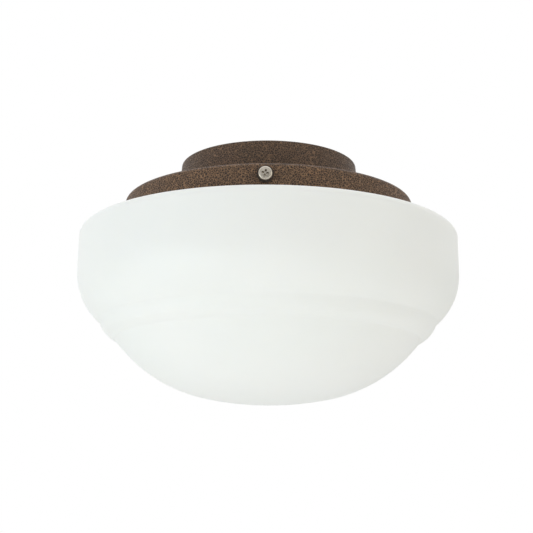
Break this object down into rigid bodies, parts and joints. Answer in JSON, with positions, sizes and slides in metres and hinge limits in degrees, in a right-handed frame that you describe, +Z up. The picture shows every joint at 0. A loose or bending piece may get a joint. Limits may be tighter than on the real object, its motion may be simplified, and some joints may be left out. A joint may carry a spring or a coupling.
{
  "type": "ceiling fan light kit",
  "caption": "Light kit for a ceiling fan: a stepped dark bronze steel fitter with side screws that hold a broad stepped opal glass bowl over two lamps.",
  "frame": {"origin": "centre of the fitter's flat top face, on the nipple's axis", "axes": "+Z up into the fan, -Y out through the first glass screw"},
  "size_m": [0.2794, 0.2794, 0.1905],
  "materials": {
    "fitter_bronze": "hammered dark bronze powder coat",
    "opal_glass": "satin opal blown glass",
    "satin_nickel": "satin nickel plate",
    "dark_rubber": "soft rubber",
    "zinc_plate": "bright zinc plate",
    "gasket_rubber": "white silicone foam",
    "reflector_aluminium": "mill-finish sheet",
    "fibre_pad": "glass-fibre felt",
    "socket_porcelain": "white glaze",
    "shell_brass": "plain brass",
    "lamp_frost": "soft white coated glass",
    "lamp_cap": "rolled sheet",
    "lamp_solder": "lead-free solder",
    "lamp_stem": "clear pressed glass",
    "lead_black": "extruded sleeve",
    "lead_white": "extruded sleeve",
    "bushing_nylon": "moulded nylon",
    "connector_plastic": "moulded nylon"
  },
  "bodies": {
    "housing": {"mounting_cup": "fitter_bronze", "glass_pan": "fitter_bronze", "cup_screws": "zinc_plate", "threaded_nipple": "zinc_plate", "nipple_nut_upper": "zinc_plate", "nipple_nut_lower": "zinc_plate", "lock_washer": "zinc_plate", "weld_nuts": "zinc_plate", "socket_bracket": "zinc_plate", "ground_screw": "zinc_plate", "rim_gasket": "gasket_rubber", "insulation_pad": "fibre_pad", "heat_shield": "reflector_aluminium", "lead_black_1": "lead_black", "lead_black_2": "lead_black", "lead_white_1": "lead_white", "lead_white_2": "lead_white", "lead_bushing_1": "bushing_nylon", "lead_bushing_2": "bushing_nylon", "wire_connector_black": "connector_plastic", "wire_connector_white": "connector_plastic", "socket_body_1": "socket_porcelain", "socket_shell_1": "shell_brass", "socket_contact_1": "shell_brass", "socket_screws_1": "zinc_plate", "socket_body_2": "socket_porcelain", "socket_shell_2": "shell_brass", "socket_contact_2": "shell_brass", "socket_screws_2": "zinc_plate"},
    "shade": {"glass_bowl": "opal_glass"},
    "washer_1": {"screw_washer_1": "dark_rubber"},
    "screw_1": {"glass_screw_1": "satin_nickel"},
    "washer_2": {"screw_washer_2": "dark_rubber"},
    "screw_2": {"glass_screw_2": "satin_nickel"},
    "washer_3": {"screw_washer_3": "dark_rubber"},
    "screw_3": {"glass_screw_3": "satin_nickel"},
    "bulb_1": {"bulb_globe_1": "lamp_frost", "bulb_cap_1": "lamp_cap", "bulb_tip_1": "lamp_solder", "bulb_stem_1": "lamp_stem"},
    "bulb_2": {"bulb_globe_2": "lamp_frost", "bulb_cap_2": "lamp_cap", "bulb_tip_2": "lamp_solder", "bulb_stem_2": "lamp_stem"}
  },
  "joints": [
    {"name": "shade_turn", "type": "hinge", "parent": "housing", "child": "shade", "pos_m": [0, 0, -0.0354], "axis": [0, 0, 1], "continuous": true},
    {"name": "screw_feed_1", "type": "slide", "parent": "housing", "child": "washer_1", "axis": [0, -1, 0], "range_m": [0, 0.00529]},
    {"name": "screw_turn_1", "type": "hinge", "parent": "washer_1", "child": "screw_1", "pos_m": [0, -0.1072, -0.0382], "axis": [0, -1, 0], "range_deg": [0, 1800]},
    {"name": "screw_feed_2", "type": "slide", "parent": "housing", "child": "washer_2", "axis": [0.866, 0.5, 0], "range_m": [0, 0.00529]},
    {"name": "screw_turn_2", "type": "hinge", "parent": "washer_2", "child": "screw_2", "pos_m": [0.09284, 0.0536, -0.0382], "axis": [0.866, 0.5, 0], "range_deg": [0, 1800]},
    {"name": "screw_feed_3", "type": "slide", "parent": "housing", "child": "washer_3", "axis": [-0.866, 0.5, 0], "range_m": [0, 0.00529]},
    {"name": "screw_turn_3", "type": "hinge", "parent": "washer_3", "child": "screw_3", "pos_m": [-0.09284, 0.0536, -0.0382], "axis": [-0.866, 0.5, 0], "range_deg": [0, 1800]},
    {"name": "bulb_pull_1", "type": "slide", "parent": "housing", "child": "bulb_1", "axis": [-1, 0, 0], "range_m": [0, 0.022]},
    {"name": "bulb_pull_2", "type": "slide", "parent": "housing", "child": "bulb_2", "axis": [1, 0, 0], "range_m": [0, 0.022]}
  ],
  "couplings": [
    {"joint": "screw_turn_1", "follows": "screw_feed_1", "rad_per_m": 5936.9},
    {"joint": "screw_turn_2", "follows": "screw_feed_2", "rad_per_m": 5936.9},
    {"joint": "screw_turn_3", "follows": "screw_feed_3", "rad_per_m": 5936.9}
  ]
}
